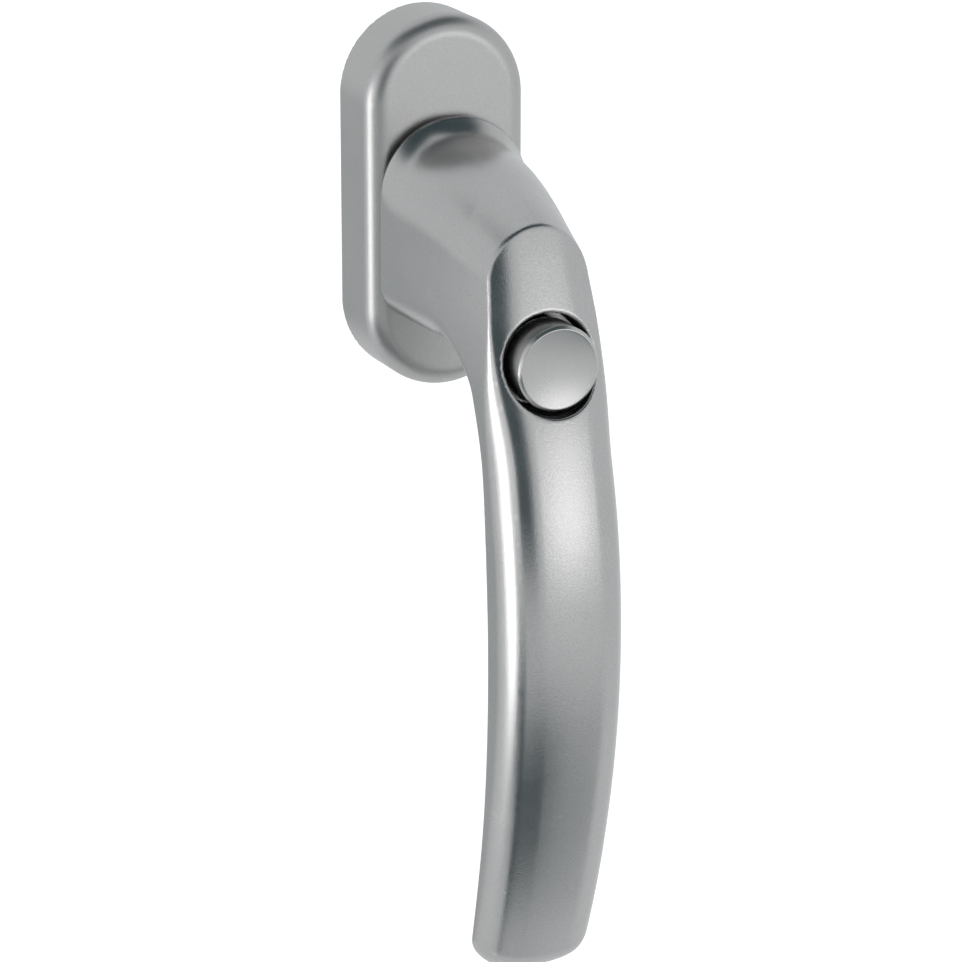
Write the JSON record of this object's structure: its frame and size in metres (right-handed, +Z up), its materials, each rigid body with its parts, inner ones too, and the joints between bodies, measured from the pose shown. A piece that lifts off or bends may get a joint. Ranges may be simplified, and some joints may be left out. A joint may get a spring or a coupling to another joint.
{
  "type": "tilt and turn window handle",
  "caption": "Tilt and turn window handle: hanging grip on a turning neck, long rosette with rounded ends, push button lock, square spindle and fixing screws.",
  "frame": {"origin": "on the spindle axis, in the plane of the window frame's face, handle closed with the grip down", "axes": "+X to the right seen from the room, -Y out into the room, +Z up"},
  "size_m": [0.0316, 0.0904, 0.1717],
  "materials": {
    "satin_aluminium": "satin anodised, fine grain",
    "button_metal": "satin",
    "zinc": "plain die casting",
    "zinc_plated_steel": "bright zinc plate",
    "spring_steel": "oiled",
    "bearing_plastic": "natural",
    "black_plastic": "matt"
  },
  "bodies": {
    "base": {"rose_base": "zinc", "lock_ring": "spring_steel", "bearing_bush": "bearing_plastic", "detent_springs": "spring_steel", "fixing_screws": "zinc_plated_steel"},
    "cover": {"rose_cover": "satin_aluminium", "cover_liner": "black_plastic"},
    "lever": {"lever": "satin_aluminium", "spindle": "zinc_plated_steel", "spindle_pin": "spring_steel", "thrust_washer": "bearing_plastic", "retaining_ring": "spring_steel", "button_guide": "black_plastic", "rocker_pin": "spring_steel"},
    "button": {"button_cap": "button_metal", "button_stem": "zinc_plated_steel", "cap_screw": "zinc_plated_steel", "button_clip": "spring_steel", "button_spring": "spring_steel"},
    "rocker": {"rocker": "zinc_plated_steel"},
    "bolt": {"lock_bolt": "zinc_plated_steel"}
  },
  "joints": [
    {"name": "lever_turn", "type": "hinge", "parent": "base", "child": "lever", "pos_m": [0, 0, 0], "axis": [0, 1, 0], "range_deg": [-180, 180], "deforming": ["detent_springs"]},
    {"name": "button_press", "type": "slide", "parent": "lever", "child": "button", "axis": [0, 1, 0], "range_m": [0, 0.003], "stiffness_N_per_m": 800, "springref_m": -0.002, "deforming": ["button_spring"]},
    {"name": "rocker_tilt", "type": "hinge", "parent": "lever", "child": "rocker", "pos_m": [0, -0.031, -0.008], "axis": [1, 0, 0], "range_deg": [-1, 27]},
    {"name": "bolt_pull", "type": "slide", "parent": "lever", "child": "bolt", "axis": [0, -1, 0], "range_m": [-0.0001, 0.0031]},
    {"name": "cover_lift", "type": "slide", "parent": "base", "child": "cover", "axis": [0, -1, 0], "range_m": [0, 0.0012]}
  ],
  "couplings": [
    {"joint": "rocker_tilt", "follows": "button_press", "rad_per_m": 148.28},
    {"joint": "bolt_pull", "follows": "button_press", "ratio": 1}
  ]
}
